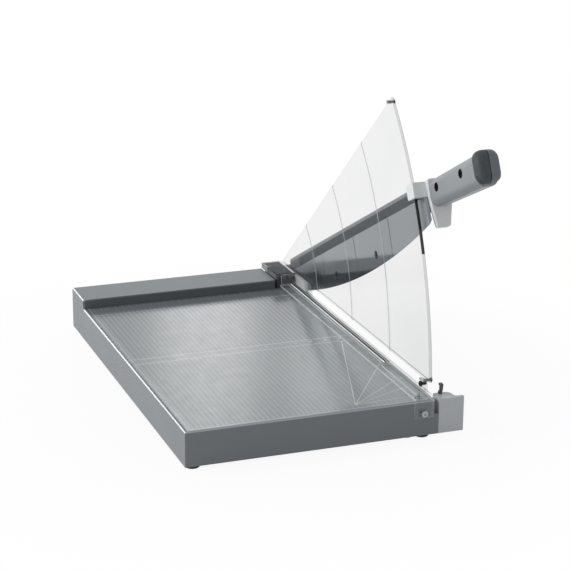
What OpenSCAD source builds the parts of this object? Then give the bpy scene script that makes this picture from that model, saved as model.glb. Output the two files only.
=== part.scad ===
// Lever paper cutter with a clear sector guard and a clear clamp bar.
// Worked out from the tray's lower front left corner: x to the right, y to the back, z up.
// The finished part has its origin below the middle of its outer extents, on the surface it stands on.

/* [Base tray] */
// Width from the left side to the cutting line
base_w = 309; // [260:1:380]
// Depth from the front face to the back face
base_l = 519; // [470:1:580]
// Height of the rim over the underside
base_h = 43; // [40:1:55]
// Thickness of the tray's walls
wall = 3; // [2:0.5:4]
// Rounding of the rim's outer edge
rim_round = 2.4; // [1:0.2:2.8]
// Width of the shelf that carries the work plate
shelf_w = 6; // [4:1:10]
// Thickness of that shelf
shelf_t = 3; // [2:0.5:4]
// Thickness of the sheet that closes the underside
floor_t = 1.5; // [1:0.5:3]

/* [Work plate] */
// Thickness of the work plate
plate_t = 2.5; // [1.5:0.5:4]
// How far the work plate lies below the rim
plate_drop = 0.4; // [0.2:0.1:1]
// Width of the groove between the rim and the work plate
groove_w = 0.8; // [0.4:0.1:1.5]
// Number of cross ribs below the work plate
rib_count = 3; // [2:1:5]
// Width of a cross rib
rib_w = 14; // [8:1:24]
// Height of a cross rib
rib_h = 18; // [12:1:24]

/* [Back ledge] */
// Depth of the back ledge, from the paper stop to the back face
ledge_l = 59; // [54:1:70]
// Height of the ledge over the rim
ledge_rise = 12.4; // [10:0.2:16]
// Clear width at the cutting end, where the clamp's box stands
ledge_gap = 34.5; // [33:0.5:42]
// Sheet thickness of the ledge's cover
ledge_t = 2; // [1.5:0.5:3]
// Thickness of the paper stop
stop_t = 1.5; // [1:0.5:2.5]

/* [Bed knife] */
// Thickness of the bed knife
knife_t = 5; // [4:0.5:7]
// Height of the bed knife
knife_h = 22; // [16:1:24]
// Number of screws that hold the bed knife
knife_screws = 5; // [3:1:7]

/* [End block] */
// Width of the slot that the blade drops into
slot_w = 4.8; // [4.8:0.1:6]
// Width of the thick post beside the slot
post_w = 23; // [21:1:28]
// Depth of the thick post
post_l = 21; // [19:1:26]
// Width of the thin wing beyond the post
wing_w = 9.5; // [6:0.5:14]
// Thickness of the thin wing
wing_t = 5; // [4:0.5:8]
// Height of the foot that ties the block to the tray
tie_h = 14; // [10:1:15]
// Length of the tie that is screwed below the tray
tie_l = 23; // [22:0.5:24]

/* [Clamp] */
// Width of the clear clamp bar
clamp_w = 26; // [24:0.5:30]
// Thickness of the clear sheet
clamp_t = 2.5; // [2:0.5:3]
// Gap below the clamp bar with the arm as drawn
clamp_lift = 2.8; // [2.6:0.1:3.4]
// How far the clamp bar's edge stands back from the cutting line
clamp_back = 1.2; // [0.8:0.1:2]
// Length of the flap that hangs over the front
flap_h = 25; // [20:1:27]
// Length of the window at the front of the bar
window_l = 106; // [80:1:140]
// Width of that window
window_w = 15.5; // [12:0.5:17]
// Height of the stiffening rib on the bar
bar_rib_h = 1.6; // [1:0.2:3]
// Height of the clear box over the ledge
box_rise = 8; // [7:0.5:12]
// Diameter of the clamp's guide pins
pin_d = 4; // [3:0.5:4.5]

/* [Clamp springs] */
// Wire thickness of a return spring
spring_wire = 0.8; // [0.6:0.1:1]
// Mean diameter of a return spring
spring_d = 6.4; // [6:0.1:7]
// Curls in a return spring
spring_curls = 7; // [5:1:8]

/* [Guard] */
// Thickness of the clear guard
guard_t = 3.4; // [2.5:0.1:4]
// Gap between the guard and the cutting line
guard_gap = 2.4; // [1.8:0.1:3]
// Height of the guard's lower edge over the rim
guard_rise = 19.8; // [17:0.2:24]
// How far the guard's rim stands back from the front face
rim_back = 6; // [4:0.5:12]
// Slope of the guard's straight upper edge
guard_slope = 40; // [38:0.5:46]
// Distance of the upper edge's line from the pivot
guard_offset = 24; // [20:0.5:28]
// Length of the guard's skirt in front of its rear tab
skirt_l = 66; // [50:1:80]
// Spacing of the engraved arcs
arc_step = 122.3; // [100:0.1:130]
// Radius of the clear stops at the ends of the rim
stop_r = 2.5; // [2:0.25:3]

/* [Arm] */
// Slope of the arm as drawn
arm_rest = 26.7; // [20:0.1:30]
// Distance of the pivot from the back face
pivot_back = 12; // [10:0.5:16]
// Distance of the pivot below the rim
pivot_drop = 5.6; // [4:0.2:10]
// Distance of the spine's rear end from the pivot
spine_start = 20; // [16:0.5:24]
// Radius of the arm's round eye
eye_r = 22; // [18:0.5:24]
// Thickness of the arm's web
web_t = 7; // [5:0.5:9]
// Width of the arm's spine across the web
spine_w = 17; // [15:0.5:20]
// Height of the spine
spine_h = 18; // [14:0.5:20]
// Height of the spine's lower side over the pivot's line
spine_low = 9; // [7:0.5:11]
// Diameter of the pivot bolt
bolt_d = 12; // [8:0.5:14]
// Wall of the bush around it
bush_t = 2; // [1.5:0.25:3]

/* [Blade] */
// Thickness of the blade
blade_t = 4; // [3:0.5:4.5]
// Running gap between the blade and the bed knife
blade_gap = 0.3; // [0.2:0.05:0.4]
// Depth of the blade's edge below the pivot's line at its deepest
blade_drop = 44.5; // [38:0.5:46]
// Place of the deepest point along the blade
blade_deep = 285; // [240:1:320]
// Radius of the curved cutting edge
edge_r = 1330; // [1200:10:1600]
// Width of the ground bevel
bevel_w = 5; // [3:0.5:8]
// How much further the blade's lower corner reaches than its upper one
blade_lean = 7; // [0:0.5:8]
// Spacing of the blade's screws
blade_pitch = 146.5; // [120:0.5:160]

/* [Hilt] */
// Thickness of the hilt's plate
hilt_t = 8; // [6:0.5:10]
// Room in front of the guard's rim inside the hilt
hilt_gap = 6; // [5:0.5:8]
// Thickness of the hilt's lug beside the guard
lug_t = 4; // [3:0.5:6]
// Height of the hilt's lug
lug_h = 18; // [14:0.5:20]
// Depth of the hilt's plate below the grip
hilt_drop = 24; // [18:0.5:30]

/* [Grip] */
// Width of the grip
grip_w = 26; // [24:0.5:32]
// Height of the grip at the hilt
grip_h = 33; // [30:0.5:38]
// Height of the grip's top over the pivot's line
grip_top = 28; // [27:0.5:32]
// How much deeper the grip is at its far end
grip_swell = 5; // [0:0.5:8]
// Length of the grip without its end cap
grip_l = 129; // [110:1:170]
// Thickness of the end cap
cap_l = 12; // [8:1:20]
// How far the end cap stands proud of the grip
cap_proud = 2; // [0.5:0.1:2.5]
// How far the end cap stays above the grip's lower side
cap_clear = 3; // [1:0.5:4]
// Place of the second grip screw after the first
grip_pitch = 69; // [50:1:75]

/* [Latch] */
// Thickness of the latch lever
latch_t = 3.6; // [3:0.1:4.6]
// Length of the latch lever above its pin
latch_l = 29.5; // [28:0.5:31]
// Slope of the latch lever as drawn, towards the front
latch_lean = 4; // [2:1:6]
// Depth of the latch's pin below the rim
latch_drop = 16; // [14:0.5:17]

/* [Feet] */
// Diameter of a foot
foot_d = 18; // [14:0.5:22]
// Length of the screws that hold the feet
foot_screw_l = 14; // [12:0.5:15]
// Height of a foot
foot_h = 4.5; // [3:0.5:8]
// Distance of a foot's middle from the tray's edges
foot_in = 12; // [11:0.5:14]

/* [Hidden] */

// Smoothness of round parts, and the general clearances
$fn = 64;
slip = 0.2;
snug = 0.05;
run = 0.08;

// Levels
floor_top = floor_t;
plate_top = base_h - plate_drop;
plate_low = plate_top - plate_t;
shelf_low = plate_low - shelf_t;
ledge_top = base_h + ledge_rise;
stop_y = base_l - ledge_l;
ledge_x = base_w - ledge_gap;

// Right-hand side, counted outwards from the tray's inner wall
side_in = base_w - knife_t - wall;
side_out = base_w - knife_t;
blade_in = base_w + blade_gap;
blade_out = blade_in + blade_t;
web_out = blade_out + web_t;
spine_in = blade_in + 2;
spine_out = spine_in + spine_w;
block_x = base_w + slot_w;

// Pivot and reach
pivot_y = base_l - pivot_back;
pivot_z = base_h - pivot_drop;
guard_r = pivot_y - rim_back;
hilt_s = guard_r + hilt_gap;
hub_t = hilt_t;
hilt_plate_s = hilt_s + hub_t;
grip_s = hilt_plate_s + hilt_t;
blade_end = hilt_plate_s - 0.3;
blade_start = eye_r + 7;

// Guard and clamp
guard_out = base_w - guard_gap;
guard_in = guard_out - guard_t;
guard_low = base_h + guard_rise;
clamp_low = plate_top + clamp_lift;
clamp_top = clamp_low + clamp_t;
clamp_out = base_w - clamp_back;
clamp_in = clamp_out - clamp_w;
box_x = ledge_x + 0.7;
box_top = ledge_top + box_rise;
box_front = stop_y - 0.5;
box_back = base_l - 0.5;
tab_x = clamp_in + 1.5;

// Guide pins, their pockets and their springs
pocket_d = spring_d + spring_wire + 1.6;
front_pin = [side_in - pocket_d / 2 - 3.5, wall + 6 + pocket_d / 2];
rear_pin = [side_in - pocket_d / 2 - 3.5, stop_y + 11 + pocket_d / 2];
block_x0 = box_x + clamp_t + 1.6;
block_y0 = box_front + clamp_t + 2.5;
block_top = box_top - clamp_t - 4.3;
guide_low = floor_top + tie_h + 0.8;
front_seat = plate_low - 11;
rear_seat = block_top - 14;

// Hilt, grip and tang
lug_out = guard_in - 1.7;
lug_in = lug_out - lug_t;
lug_s = guard_r - 6;
lug_low = spine_low + 0.5;
hilt_x = blade_out + 0.3;
grip_mid = hilt_x + grip_w / 2;
grip_low = grip_top - grip_h;
cap_s = grip_s + grip_l;
cap_end = cap_s + cap_l;
grip_round = 10;
tang_t = 6;
tang_h = 11;
tang_x = spine_out - tang_t;
tang_mid = spine_low + tang_h / 2;
tang_back = 12;
grip_holes = [grip_s + 21, grip_s + 21 + grip_pitch];
head_d = 10.5;

// Latch
latch_x = block_x + 7.2;
latch_y = post_l - 4;
latch_z = base_h - latch_drop;
stud_s = pivot_y - 27.5;
stud_t = -10;

// Steps of the cap's dome: share of its thickness, and how much smaller it is there
dome_steps = [[0.4, 0], [0.7, 1.6], [0.9, 4], [1, 7.5]];
cap_top = grip_top + 0.5 + cap_proud;
cap_low = grip_low - grip_swell + cap_clear;

// Outer extents with the arm as drawn, and the middle between them
reach_front = max([for (d = dome_steps)
    (cap_s + cap_l * d[0]) * cos(arm_rest) - (cap_low + d[1]) * sin(arm_rest)]);
reach_right = max(block_x + post_w + wing_w, hilt_x + grip_w + cap_proud);
reach_back = max(base_l, pivot_y + eye_r);
middle_x = reach_right / 2;
middle_y = (pivot_y - reach_front + reach_back) / 2;

// Shapes used by several pieces

module in_frame() {
    translate([-middle_x, -middle_y, foot_h]) children();
}

// Extrudes an outline drawn in y and z, from x0 to x1
module slab_x(x0, x1) {
    translate([x0, 0, 0]) rotate([90, 0, 90]) linear_extrude(x1 - x0) children();
}

// Extrudes an outline drawn in x and z, from y0 to y1
module slab_y(y0, y1) {
    translate([0, y1, 0]) rotate([90, 0, 0]) linear_extrude(y1 - y0) children();
}

// Extrudes an outline drawn along and across the arm, from x0 to x1
module slab_arm(x0, x1) {
    translate([x1, 0, 0]) rotate([90, 0, -90]) linear_extrude(x1 - x0) children();
}

// Extrudes an outline drawn in x and across the arm, from s0 to s1 along the arm
module slab_s(s0, s1) {
    translate([0, -s0, 0]) rotate([90, 0, 0]) linear_extrude(s1 - s0) children();
}

module arm_frame() {
    in_frame() translate([0, pivot_y, pivot_z]) rotate([-arm_rest, 0, 0]) children();
}

module box(x0, y0, z0, x1, y1, z1) {
    translate([x0, y0, z0]) cube([x1 - x0, y1 - y0, z1 - z0]);
}

module rod_x(x0, x1, d) {
    translate([x0, 0, 0]) rotate([0, 90, 0]) cylinder(d = d, h = x1 - x0);
}

module rod_y(y0, y1, d) {
    translate([0, y1, 0]) rotate([90, 0, 0]) cylinder(d = d, h = y1 - y0);
}

// Corner points of an outline, with each corner rounded by its radius
function unit(v) = v / norm(v);
function corner(a, b, c, r, n) =
    let (u = unit(a - b), v = unit(c - b), half = acos(u * v) / 2)
    let (mid = b + unit(u + v) * r / sin(half), p = b + u * r / tan(half), q = b + v * r / tan(half))
    let (a0 = atan2(p[1] - mid[1], p[0] - mid[0]), a1 = atan2(q[1] - mid[1], q[0] - mid[0]))
    let (turn = a1 - a0 > 180 ? a1 - a0 - 360 : (a1 - a0 < -180 ? a1 - a0 + 360 : a1 - a0))
    [for (i = [0:n]) mid + r * [cos(a0 + turn * i / n), sin(a0 + turn * i / n)]];
function rounded(pts, r, n = 6) =
    let (m = len(pts))
    [for (i = [0:m - 1])
        let (ri = is_list(r) ? r[i] : r)
        each (ri > 0 ? corner(pts[(i + m - 1) % m], pts[i], pts[(i + 1) % m], ri, n) : [pts[i]])];
function oblong(x0, y0, x1, y1) = [[x0, y0], [x1, y0], [x1, y1], [x0, y1]];

// Round screw with its head at z = 0 and upwards, and its shank below
module screw(d, l, head, head_h) {
    difference() {
        union() {
            cylinder(d = head, h = head_h);
            translate([0, 0, -l]) cylinder(d = d, h = l + 0.01);
        }
        translate([0, 0, head_h * 0.45]) cylinder(d = head * 0.5, h = head_h, $fn = 6);
    }
}

// Countersunk screw with its head's face at z = 0 and its shank below
module flush_screw(d, l, head) {
    difference() {
        union() {
            translate([0, 0, -(head - d) / 2]) cylinder(d1 = d, d2 = head, h = (head - d) / 2);
            translate([0, 0, -l]) cylinder(d = d, h = l - (head - d) / 2 + 0.01);
        }
        translate([0, 0, -(head - d) / 3]) cylinder(d = d * 0.7, h = head, $fn = 6);
    }
}

// Base tray and work plate

// Outer block of the tray with its rim rounded at the left, front or back
module tray_block(x1, y0, y1, top, round_front, round_back) {
    intersection() {
        slab_y(y0, y1)
            polygon(rounded([[0, 0], [x1, 0], [x1, top], [0, top]], [0, 0, 0, rim_round]));
        slab_x(0, x1)
            polygon(rounded([[y0, 0], [y1, 0], [y1, top], [y0, top]], [0, 0, round_back, round_front]));
    }
}

foot_places = [for (fx = [foot_in, base_w - foot_in], fy = [foot_in, base_l - foot_in]) [fx, fy]];
floor_places = [for (fx = [foot_in, base_w * 0.4], fy = [base_l * 0.35, base_l * 0.7]) [fx, fy]];

module tray_frame() {
    color("#6c7176") in_frame() difference() {
        union() {
            difference() {
                union() {
                    tray_block(base_w, 0, base_l, base_h, rim_round, rim_round);
                    tray_block(ledge_x, stop_y, base_l, ledge_top, rim_round, rim_round);
                }
                // Hollow below the shelf, opening for the ledge, and recess for the work plate
                box(wall, wall, -1, side_in, base_l - wall, shelf_low);
                box(wall + shelf_w, wall + shelf_w, -1, side_in, base_l - wall, plate_low + 1);
                box(wall, wall, plate_low, base_w + 1, stop_y + 4, ledge_top);
                box(wall, stop_y, plate_low, base_w + 1, base_l - wall, ledge_top + 1);
                // Seat of the bed knife outside the right wall, and room for the arm's eye behind it
                box(side_out, wall, -1, base_w + 1, base_l + 1, base_h + 1);
            }
            // Lower part of the front wall carries on below the blade's slot
            box(base_w - 1, 0, 0, block_x, wall, base_h * 0.6);
            // Bosses for the left feet and for the floor sheet
            for (p = foot_places) if (p[0] < base_w / 2)
                translate([p[0], p[1], floor_top]) cylinder(d = 11, h = shelf_low - floor_top);
            for (p = floor_places) if (p[0] == foot_in)
                translate([p[0] - 4, p[1], floor_top]) cylinder(d = 10, h = shelf_low - floor_top);
        }
        for (p = foot_places) if (p[0] < base_w / 2)
            translate([p[0], p[1], -1]) cylinder(d = 4 + 2 * snug, h = 17);
        for (p = floor_places) if (p[0] == foot_in)
            translate([p[0] - 4, p[1], -1]) cylinder(d = 3 + 2 * snug, h = 13);
        // Screw holes of the bed knife, the pivot bolt, the ledge and the flap
        for (y = knife_ys()) translate([0, y, knife_z]) rod_x(side_in - 1, side_out + 1, 5 + 2 * snug);
        translate([0, pivot_y, pivot_z]) rod_x(side_in - 1, side_out + 1, bolt_d + 2 * snug);
        for (x = ledge_xs) translate([x, 0, ledge_screw_z])
            rod_y(base_l - wall - 1, base_l + 1, 3 + 2 * snug);
        for (x = ledge_xs) translate([x, base_l, ledge_screw_z]) rotate([-90, 0, 0])
            translate([0, 0, -1.6]) cylinder(d1 = 3, d2 = 6.4, h = 1.7);
        translate([front_pin[0], 0, flap_z]) rod_y(-1, wall + 1, 4 + 2 * snug);
        // Rim lowered below the clamp bar
        box(clamp_in - 1, -1, plate_top, base_w + 1, wall + 1, base_h + 1);
        // The foot of the end block passes under the bed knife
        box(side_in - 1, wall, -1, base_w + 1, tie_back + slip, floor_top + tie_h + slip);
        box(base_w - 1, -1, base_h * 0.6, block_x + 1, wall + 1, base_h + 1);
        box(base_w, -1, -1, block_x + 1, wall, 0);
    }
}

module work_plate() {
    color("#8f9498") in_frame() difference() {
        box(wall + groove_w, wall + groove_w, plate_low, side_out - slip, stop_y + 4 - slip, plate_top);
        translate([front_pin[0], front_pin[1], plate_low - 1]) cylinder(d = pocket_d, h = plate_t + 2);
    }
}

rib_ys = [for (i = [1:rib_count]) wall + i * (stop_y - wall) / (rib_count + 1)];

module cross_ribs() {
    right = side_in - knife_head - 1;
    color("#7c8084") in_frame() for (y = rib_ys) {
        box(wall, y - rib_w / 2, shelf_low - rib_h, right, y + rib_w / 2, shelf_low);
        box(wall + shelf_w, y - rib_w / 2, shelf_low, right, y + rib_w / 2, plate_low);
    }
}

module floor_sheet() {
    color("#54585c") in_frame() difference() {
        box(wall + slip, wall + slip, 0, side_in - slip, base_l - wall - slip, floor_top);
        for (p = foot_places) translate([p[0], p[1], -1]) cylinder(d = 4 + 2 * snug, h = floor_t + 2);
        for (p = floor_places) translate([p[0] == foot_in ? p[0] - 4 : p[0], p[1], -1])
            cylinder(d = 3 + 2 * snug, h = floor_t + 2);
        for (p = concat(tie_places, block_places)) translate([p[0], p[1], -1])
            cylinder(d = 5 + 2 * snug, h = floor_t + 2);
    }
}

module floor_screws() {
    color("#b5b8bb") in_frame() for (p = floor_places) if (p[0] == foot_in)
        translate([p[0] - 4, p[1], 0]) rotate([180, 0, 0]) screw(3, 11, 6, 1.8);
}

// Back ledge

ledge_xs = [ledge_x * 0.15, ledge_x * 0.5, ledge_x * 0.85];
ledge_screw_z = ledge_top - ledge_t - 4;

module back_ledge() {
    color("#7e8387") in_frame() difference() {
        union() {
            box(wall, stop_y, ledge_top - ledge_t, ledge_x, base_l - wall, ledge_top);
            box(wall, stop_y + stop_t, plate_top, ledge_x, stop_y + stop_t + ledge_t, ledge_top);
            box(ledge_x - ledge_t, stop_y + stop_t, plate_top, ledge_x, base_l - wall, ledge_top);
            box(wall, base_l - wall - ledge_t, base_h, ledge_x, base_l - wall, ledge_top);
        }
        for (x = ledge_xs) translate([x, 0, ledge_screw_z])
            rod_y(base_l - wall - ledge_t - 1, base_l, 3 + 2 * snug);
    }
}

module ledge_screws() {
    color("#b5b8bb") in_frame() for (x = ledge_xs)
        translate([x, base_l, ledge_screw_z]) rotate([-90, 0, 0]) flush_screw(3, wall + ledge_t + 2, 6);
}

module paper_stop() {
    color("#3c4043") in_frame()
        box(wall, stop_y, plate_top, ledge_x, stop_y + stop_t, ledge_top - ledge_t);
}

// Bed knife

knife_z = plate_top - knife_h * 0.55;
knife_head = 3.5;
function knife_ys() = [for (i = [0:knife_screws - 1])
    60 + i * (stop_y - 110) / (knife_screws - 1)];

module bed_knife() {
    color("#b9bdc0") in_frame() difference() {
        box(side_out, wall, plate_top - knife_h, base_w, stop_y + 6, plate_top);
        for (y = knife_ys()) translate([0, y, knife_z]) rod_x(side_out - 1, side_out + knife_t - 1, 5 + 2 * snug);
    }
}

module bed_knife_screws() {
    color("#b5b8bb") in_frame() for (y = knife_ys())
        translate([side_in, y, knife_z]) rotate([0, -90, 0]) screw(5, wall + knife_t - 1.5, 9, knife_head);
}

// End block at the front right, tied to the tray below the blade

tie_x = side_in - 30;
tie_back = wall + tie_l;
tie_places = [[tie_x + 6, wall + 6], [tie_x + 6, wall + tie_l - 6]];

module end_block() {
    post_right = block_x + post_w;
    color("#9aa0a3") in_frame() difference() {
        union() {
            // Post with a rounded back corner, and the thin wing beside it
            linear_extrude(base_h) polygon(rounded(
                [[block_x, 0], [post_right + wing_w, 0], [post_right + wing_w, wing_t],
                 [post_right, wing_t], [post_right - 2, post_l], [block_x, post_l]],
                [0, 1, 1.5, 3, 8, 3]));
            box(tie_x, wall, floor_top, block_x + 1, tie_back - slip, floor_top + tie_h);
        }
        // Slot of the latch, shorter at the top, and its pin's hole
        box(latch_x - slip, latch_y - 5.4, latch_z - 6, latch_x + latch_t + slip, post_l + 1, latch_z + 11);
        box(latch_x - slip, latch_y - 1.7, latch_z - 6, latch_x + latch_t + slip, post_l + 1, base_h + 1);
        translate([0, latch_y, latch_z]) rod_x(latch_x - 6, latch_x + latch_t + 6, 4 + 2 * snug);
        // Screw holes from below
        for (p = tie_places) translate([p[0], p[1], -1]) cylinder(d = 5 + 2 * snug, h = 13);
        translate([base_w - foot_in, foot_in, -1]) cylinder(d = 4 + 2 * snug, h = 16);
    }
}

module end_block_screws() {
    color("#b5b8bb") in_frame() for (p = tie_places)
        translate([p[0], p[1], 0]) rotate([180, 0, 0]) screw(5, 11, 9, 2.8);
}

// Guide of the clamp's front pin, below the work plate

flap_z = clamp_top - flap_h + 6;

module front_guide() {
    color("#4a4e52") in_frame() difference() {
        box(front_pin[0] - 8, wall, guide_low, side_in, wall + 20, plate_low);
        translate([front_pin[0], front_pin[1], front_seat])
            cylinder(d = pocket_d, h = plate_low - front_seat + 1);
        translate([front_pin[0], front_pin[1], guide_low - 1])
            cylinder(d = pin_d + 2 * run, h = plate_low - guide_low + 1);
        translate([front_pin[0], 0, flap_z]) rod_y(wall - 1, wall + 4, 4 + 2 * snug);
        box(front_pin[0] - 9, wall - 1, shelf_low - slip, side_in + 1, wall + shelf_w + slip, plate_low + 1);
    }
}

// Screw that guides the clamp's flap, fixed through the front wall
module flap_screw() {
    gap = clamp_t + 0.9;
    color("#a9adb1") in_frame() translate([front_pin[0], 0, flap_z]) {
        rod_y(-gap, wall + 3.5, 4);
        difference() {
            rod_y(-gap - 2.4, -gap, 8);
            rod_y(-gap - 3, -gap - 1.2, 3.6);
        }
    }
}

// Pivot block at the back right, which also guides the clamp's rear pin

block_places = [[block_x0 + 6, stop_y + 12], [block_x0 + 6, stop_y + 32]];

module pivot_block() {
    color("#4e5256") in_frame() difference() {
        union() {
            box(block_x0, stop_y + 6, floor_top, side_in, base_l - wall, base_h);
            box(block_x0, block_y0, plate_top, side_in - 1, base_l - wall, block_top);
        }
        translate([0, pivot_y, pivot_z]) rod_x(block_x0 - 1, side_in + 1, bolt_d + 2 * snug);
        translate([rear_pin[0], rear_pin[1], rear_seat])
            cylinder(d = pocket_d, h = block_top - rear_seat + 1);
        translate([rear_pin[0], rear_pin[1], rear_seat - 13])
            cylinder(d = pin_d + 2 * run, h = block_top - rear_seat + 13);
        translate([base_w - foot_in, base_l - foot_in, -1]) cylinder(d = 4 + 2 * snug, h = 16);
        for (p = block_places) translate([p[0], p[1], -1]) cylinder(d = 5 + 2 * snug, h = 14);
        // Clearance for the work plate's back edge
        box(block_x0 - 1, 0, plate_low - slip, side_in + 1, stop_y + 4 + slip, plate_top + slip);
    }
}

module pivot_block_screws() {
    color("#b5b8bb") in_frame() for (p = block_places)
        translate([p[0], p[1], 0]) rotate([180, 0, 0]) screw(5, 12, 9, 2.8);
}

nut_t = 8;
washer_t = 1.8;
eye_out = web_out + 1;
head_t = block_x0 - ledge_x - 0.5;
washer_d = bolt_d + 12;

module pivot_bolt() {
    color("#a9adb1") in_frame() translate([0, pivot_y, pivot_z]) {
        translate([block_x0 - head_t, 0, 0]) rotate([0, 90, 0]) cylinder(d = bolt_d * 1.6, h = head_t, $fn = 6);
        rod_x(block_x0 - 0.01, eye_out + 0.3 + washer_t + nut_t + 1, bolt_d);
    }
}

module thrust_washer() {
    color("#b08d4a") in_frame() translate([0, pivot_y, pivot_z]) difference() {
        rod_x(side_out, blade_in - slip, washer_d);
        rod_x(side_out - 1, blade_in + 1, bolt_d + 2 * snug);
    }
}

module spring_washer() {
    color("#8d9195") in_frame() translate([0, pivot_y, pivot_z]) difference() {
        rod_x(eye_out + 0.3, eye_out + 0.3 + washer_t, bolt_d + 11);
        rod_x(eye_out, eye_out + 3 + washer_t, bolt_d + 2 * snug);
    }
}

module pivot_nut() {
    color("#a9adb1") in_frame() translate([eye_out + 0.3 + washer_t, pivot_y, pivot_z]) difference() {
        rotate([0, 90, 0]) cylinder(d = bolt_d * 1.6, h = nut_t, $fn = 6);
        rod_x(-1, nut_t + 1, bolt_d + 2 * snug);
    }
}

// Feet

module rubber_feet() {
    color("#26282a") in_frame() for (p = foot_places) translate([p[0], p[1], -foot_h]) difference() {
        union() {
            cylinder(d1 = foot_d - 2, d2 = foot_d, h = 1);
            translate([0, 0, 1]) cylinder(d = foot_d, h = foot_h - 1);
        }
        translate([0, 0, -1]) cylinder(d = 8.4, h = foot_h - 1.5 + 1);
        cylinder(d = 4 + 2 * snug, h = foot_h + 1);
    }
}

module foot_screws() {
    color("#b5b8bb") in_frame() for (p = foot_places)
        translate([p[0], p[1], -1.5]) rotate([180, 0, 0]) screw(4, foot_screw_l, 7.6, 1.2);
}

// Latch of the closed arm

module latch_pin() {
    color("#a9adb1") in_frame() translate([0, latch_y, latch_z])
        rod_x(latch_x - 5.5, latch_x + latch_t + 5.5, 4);
}

module latch_lever() {
    tip = latch_l;
    color("#3a3e41") in_frame() translate([0, latch_y, latch_z]) rotate([latch_lean, 0, 0]) difference() {
        slab_x(latch_x, latch_x + latch_t) union() {
            circle(r = 4.6);
            polygon(rounded([[-3.4, 0], [4, 0], [5, tip - 12.5], [1.6, tip - 8.5], [1.6, tip - 2.9],
                [5.2, tip - 2.9], [3.5, tip], [-2.3, tip], [-1.2, tip - 9], [0.6, tip - 13]],
                [0, 0, 2, 1, 0.5, 0.8, 1, 1, 1, 1]));
        }
        rod_x(latch_x - 1, latch_x + latch_t + 1, 4 + 2 * run);
    }
}

// Clamp bar with its flap, window and rib

flap_y = 0.5 + clamp_t;
window_x = clamp_out - 2 - window_w;
window_y = 16;

module clamp_bar() {
    color([0.85, 0.88, 0.9, 0.4]) in_frame() difference() {
        union() {
            box(clamp_in, -flap_y, clamp_low, clamp_out, box_front, clamp_top);
            box(clamp_in, -flap_y, clamp_top - flap_h, guard_in + 2, -flap_y + clamp_t, clamp_top);
            box(tab_x, box_front - clamp_t, clamp_low, guard_in - 4, box_front, box_top - 1);
            box(window_x + 6, window_y + window_l + 2, clamp_top - 0.1,
                window_x + 9, box_front - clamp_t, clamp_top + bar_rib_h);
        }
        translate([0, 0, clamp_low - 1]) linear_extrude(clamp_t + 2)
            polygon(rounded(oblong(window_x, window_y, window_x + window_w, window_y + window_l), 3));
        // Upright slot in the flap for its guide screw
        slab_y(-flap_y - 1, 0) hull_slot(front_pin[0], flap_z, 4.5, 2.8, 1.2);
        for (p = box_screw_places) translate([p[0], 0, p[1]]) rod_y(box_front - clamp_t - 1, box_front + 1, 3.1);
        translate([front_pin[0], front_pin[1], clamp_low - 1]) cylinder(d = 3 + 2 * snug, h = clamp_t + 2);
    }
}

// Upright slot with round ends, about the point x and z, reaching up and down
module hull_slot(x, z, d, up, down) {
    translate([x, z + up]) circle(d = d);
    translate([x, z - down]) circle(d = d);
    translate([x - d / 2, z - down]) square([d, up + down]);
}

box_screw_places = [for (x = [tab_x + 4, guard_in - 8]) [x, box_top - 4.2]];

// Clear box at the back end, over the pivot block
module clamp_box() {
    low = ledge_top + 0.8;
    deep = clamp_low + 0.6;
    color([0.85, 0.88, 0.9, 0.4]) in_frame() difference() {
        union() {
            box(box_x, box_front, low, guard_in, box_back, box_top);
            box(guard_in - clamp_t, box_front, deep, guard_in, box_back, low + 1);
        }
        box(box_x + clamp_t, box_front + clamp_t, deep - 1, guard_in - clamp_t, box_back - clamp_t,
            box_top - clamp_t);
        for (p = box_screw_places) translate([p[0], 0, p[1]]) rod_y(box_front - 1, box_front + clamp_t + 1, 3.1);
        for (p = rear_tab_holes) translate([0, p[0], p[1]]) rod_x(guard_in - clamp_t - 1, guard_in + 1, 4.1);
        translate([rear_pin[0], rear_pin[1], box_top - clamp_t - 1])
            cylinder(d = 3 + 2 * snug, h = clamp_t + 2);
    }
}

module box_screws() {
    color("#b5b8bb") in_frame() for (p = box_screw_places)
        translate([p[0], box_front - clamp_t, p[1]]) rotate([90, 0, 0]) screw(3, 2 * clamp_t, 5.4, 1.6);
}

// Steel pins pressed into the clamp bar and the box, running in the guides
module guide_pins() {
    color("#b5b8bb") in_frame() {
        translate([front_pin[0], front_pin[1], 0]) {
            translate([0, 0, guide_low + 3]) cylinder(d = pin_d, h = clamp_low - guide_low - 3);
            translate([0, 0, clamp_low - 0.01]) cylinder(d = 3, h = clamp_t);
        }
        translate([rear_pin[0], rear_pin[1], 0]) {
            translate([0, 0, rear_seat - 8]) cylinder(d = pin_d, h = box_top - clamp_t - rear_seat + 8);
            translate([0, 0, box_top - clamp_t - 0.01]) cylinder(d = 3, h = clamp_t);
        }
    }
}

// Return springs around the guide pins

ring_steps = 8;
wire_sides = 6;
function coil_point(k, low, high) =
    let (turns = k / ring_steps, all = spring_curls, rise = high - low - spring_wire)
    [spring_d / 2 * cos(360 * turns), spring_d / 2 * sin(360 * turns),
     low + spring_wire / 2 + rise * turns / all];
function coil_ring(k, low, high) =
    let (c = coil_point(k, low, high), a = 360 * k / ring_steps)
    [for (j = [0:wire_sides - 1]) let (b = 360 * j / wire_sides)
        c + spring_wire / 2 * [cos(a) * cos(b), sin(a) * cos(b), sin(b)]];

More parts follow.
